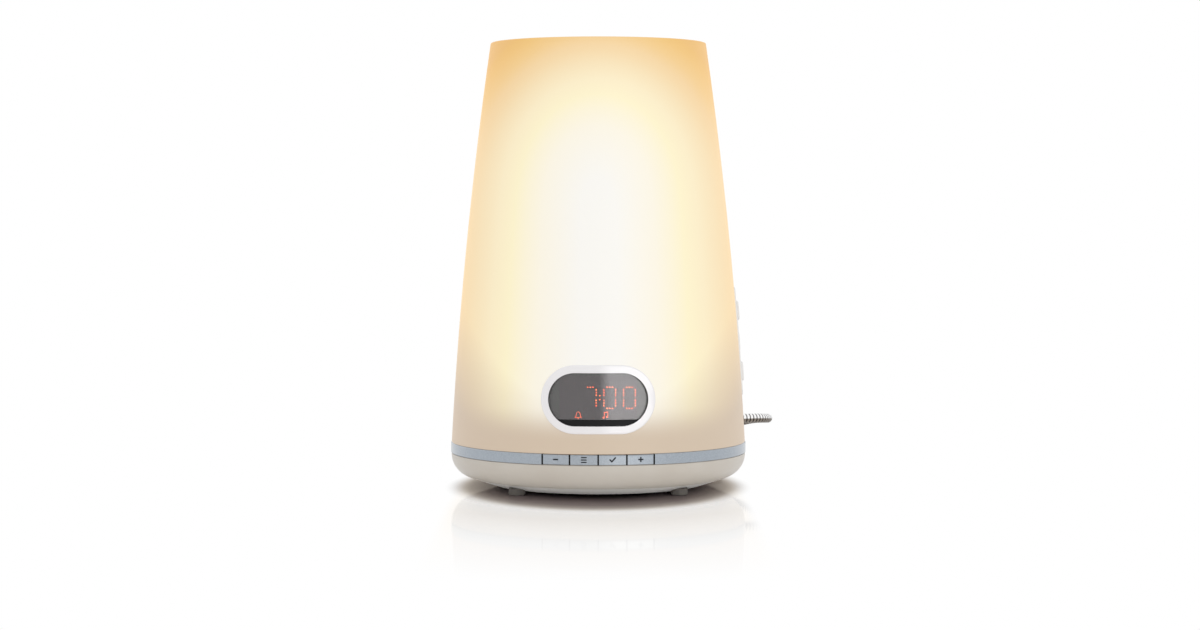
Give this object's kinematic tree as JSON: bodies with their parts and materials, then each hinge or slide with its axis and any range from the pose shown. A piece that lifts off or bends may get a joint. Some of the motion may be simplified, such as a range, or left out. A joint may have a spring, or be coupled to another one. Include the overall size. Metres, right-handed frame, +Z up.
{
  "type": "sunrise alarm clock",
  "caption": "Bedside wake-up lamp and alarm clock: tapering translucent lamp housing on a bowl base, dot display in an oval bezel, front key band, side buttons, bulb inside and mains lead.",
  "frame": {"origin": "on the table under the middle of the round body", "axes": "+Z up, the display and keys face -Y, the side buttons are on the +X side"},
  "size_m": [0.1899, 0.2553, 0.252],
  "materials": {
    "shade_plastic": "translucent opal moulding",
    "white_plastic": "fine satin moulding",
    "bowl_plastic": "satin moulding",
    "silver_trim": "silver metallic paint",
    "bezel_plastic": "polished",
    "smoked_plastic": "polished, tinted",
    "rubber": "matt",
    "relief_rubber": "matt",
    "board": "solder mask",
    "black_plastic": "matt",
    "inner_plastic": "satin moulding",
    "steel": "plated",
    "iron_core": "laminated",
    "copper": "enamelled copper wire",
    "aluminium": "satin",
    "brass": "nickel-free brass",
    "pin_metal": "nickel plated",
    "glazed": "heat-resisting moulding",
    "opal_glass": "opal",
    "cone_paper": "pressed paper",
    "lead_sheath": "ribbed sheath",
    "plug_plastic": "satin moulding"
  },
  "bodies": {
    "base": {"base_shell": "bowl_plastic", "base_plate": "bowl_plastic", "rubber_feet": "rubber", "base_screws": "steel", "trim_band": "silver_trim", "rear_cover": "white_plastic", "cover_screws": "steel", "side_panel": "white_plastic", "side_board": "board", "side_switches": "black_plastic", "front_carrier": "inner_plastic", "display_shroud": "black_plastic", "display_board": "board", "display_matrix": "black_plastic", "key_board": "board", "key_switches": "black_plastic", "lamp_deck": "inner_plastic", "reflector": "aluminium", "lamp_holder": "glazed", "holder_sleeve": "brass", "holder_contact": "brass", "main_board": "board", "transformer_core": "iron_core", "transformer_coils": "copper", "capacitors": "black_plastic", "heat_sink": "aluminium", "lamp_leads": "black_plastic", "speaker_basket": "steel", "speaker_cone": "cone_paper", "speaker_magnet": "iron_core", "speaker_bracket": "inner_plastic", "cord_relief": "relief_rubber", "mains_cord": "lead_sheath", "cord_coil": "lead_sheath", "cord_tail": "lead_sheath", "mains_plug": "plug_plastic", "plug_pins": "pin_metal"},
    "shade": {"lampshade": "shade_plastic", "top_cap": "white_plastic", "display_bezel": "bezel_plastic", "display_window": "smoked_plastic"},
    "bulb": {"bulb_cap": "aluminium", "bulb_contact": "brass", "bulb_glass": "opal_glass"},
    "key_minus_body": {"key_minus": "silver_trim"},
    "key_menu_body": {"key_menu": "silver_trim"},
    "key_select_body": {"key_select": "silver_trim"},
    "key_plus_body": {"key_plus": "silver_trim"},
    "level_up_button_body": {"level_up_button": "white_plastic"},
    "lamp_button_body": {"lamp_button": "white_plastic"},
    "level_down_button_body": {"level_down_button": "white_plastic"}
  },
  "joints": [
    {"name": "shade_lift", "type": "slide", "parent": "base", "child": "shade", "axis": [0, 0, 1], "range_m": [0, 0.23]},
    {"name": "bulb_unscrew", "type": "slide", "parent": "base", "child": "bulb", "axis": [0, 0, 1], "range_m": [0, 0.03]},
    {"name": "key_minus_press", "type": "slide", "parent": "base", "child": "key_minus_body", "axis": [0.274, 0.9617, 0], "range_m": [0, 0.0007], "stiffness_N_per_m": 700},
    {"name": "key_menu_press", "type": "slide", "parent": "base", "child": "key_menu_body", "axis": [0.0924, 0.9957, 0], "range_m": [0, 0.0007], "stiffness_N_per_m": 700},
    {"name": "key_select_press", "type": "slide", "parent": "base", "child": "key_select_body", "axis": [-0.0924, 0.9957, 0], "range_m": [0, 0.0007], "stiffness_N_per_m": 700},
    {"name": "key_plus_press", "type": "slide", "parent": "base", "child": "key_plus_body", "axis": [-0.274, 0.9617, 0], "range_m": [0, 0.0007], "stiffness_N_per_m": 700},
    {"name": "level_up_button_press", "type": "slide", "parent": "base", "child": "level_up_button_body", "axis": [-0.9924, -0.0956, -0.0776], "range_m": [0, 0.0009], "stiffness_N_per_m": 700},
    {"name": "lamp_button_press", "type": "slide", "parent": "base", "child": "lamp_button_body", "axis": [-0.9924, -0.0956, -0.0776], "range_m": [0, 0.0009], "stiffness_N_per_m": 700},
    {"name": "level_down_button_press", "type": "slide", "parent": "base", "child": "level_down_button_body", "axis": [-0.9924, -0.0956, -0.0776], "range_m": [0, 0.0009], "stiffness_N_per_m": 700}
  ]
}
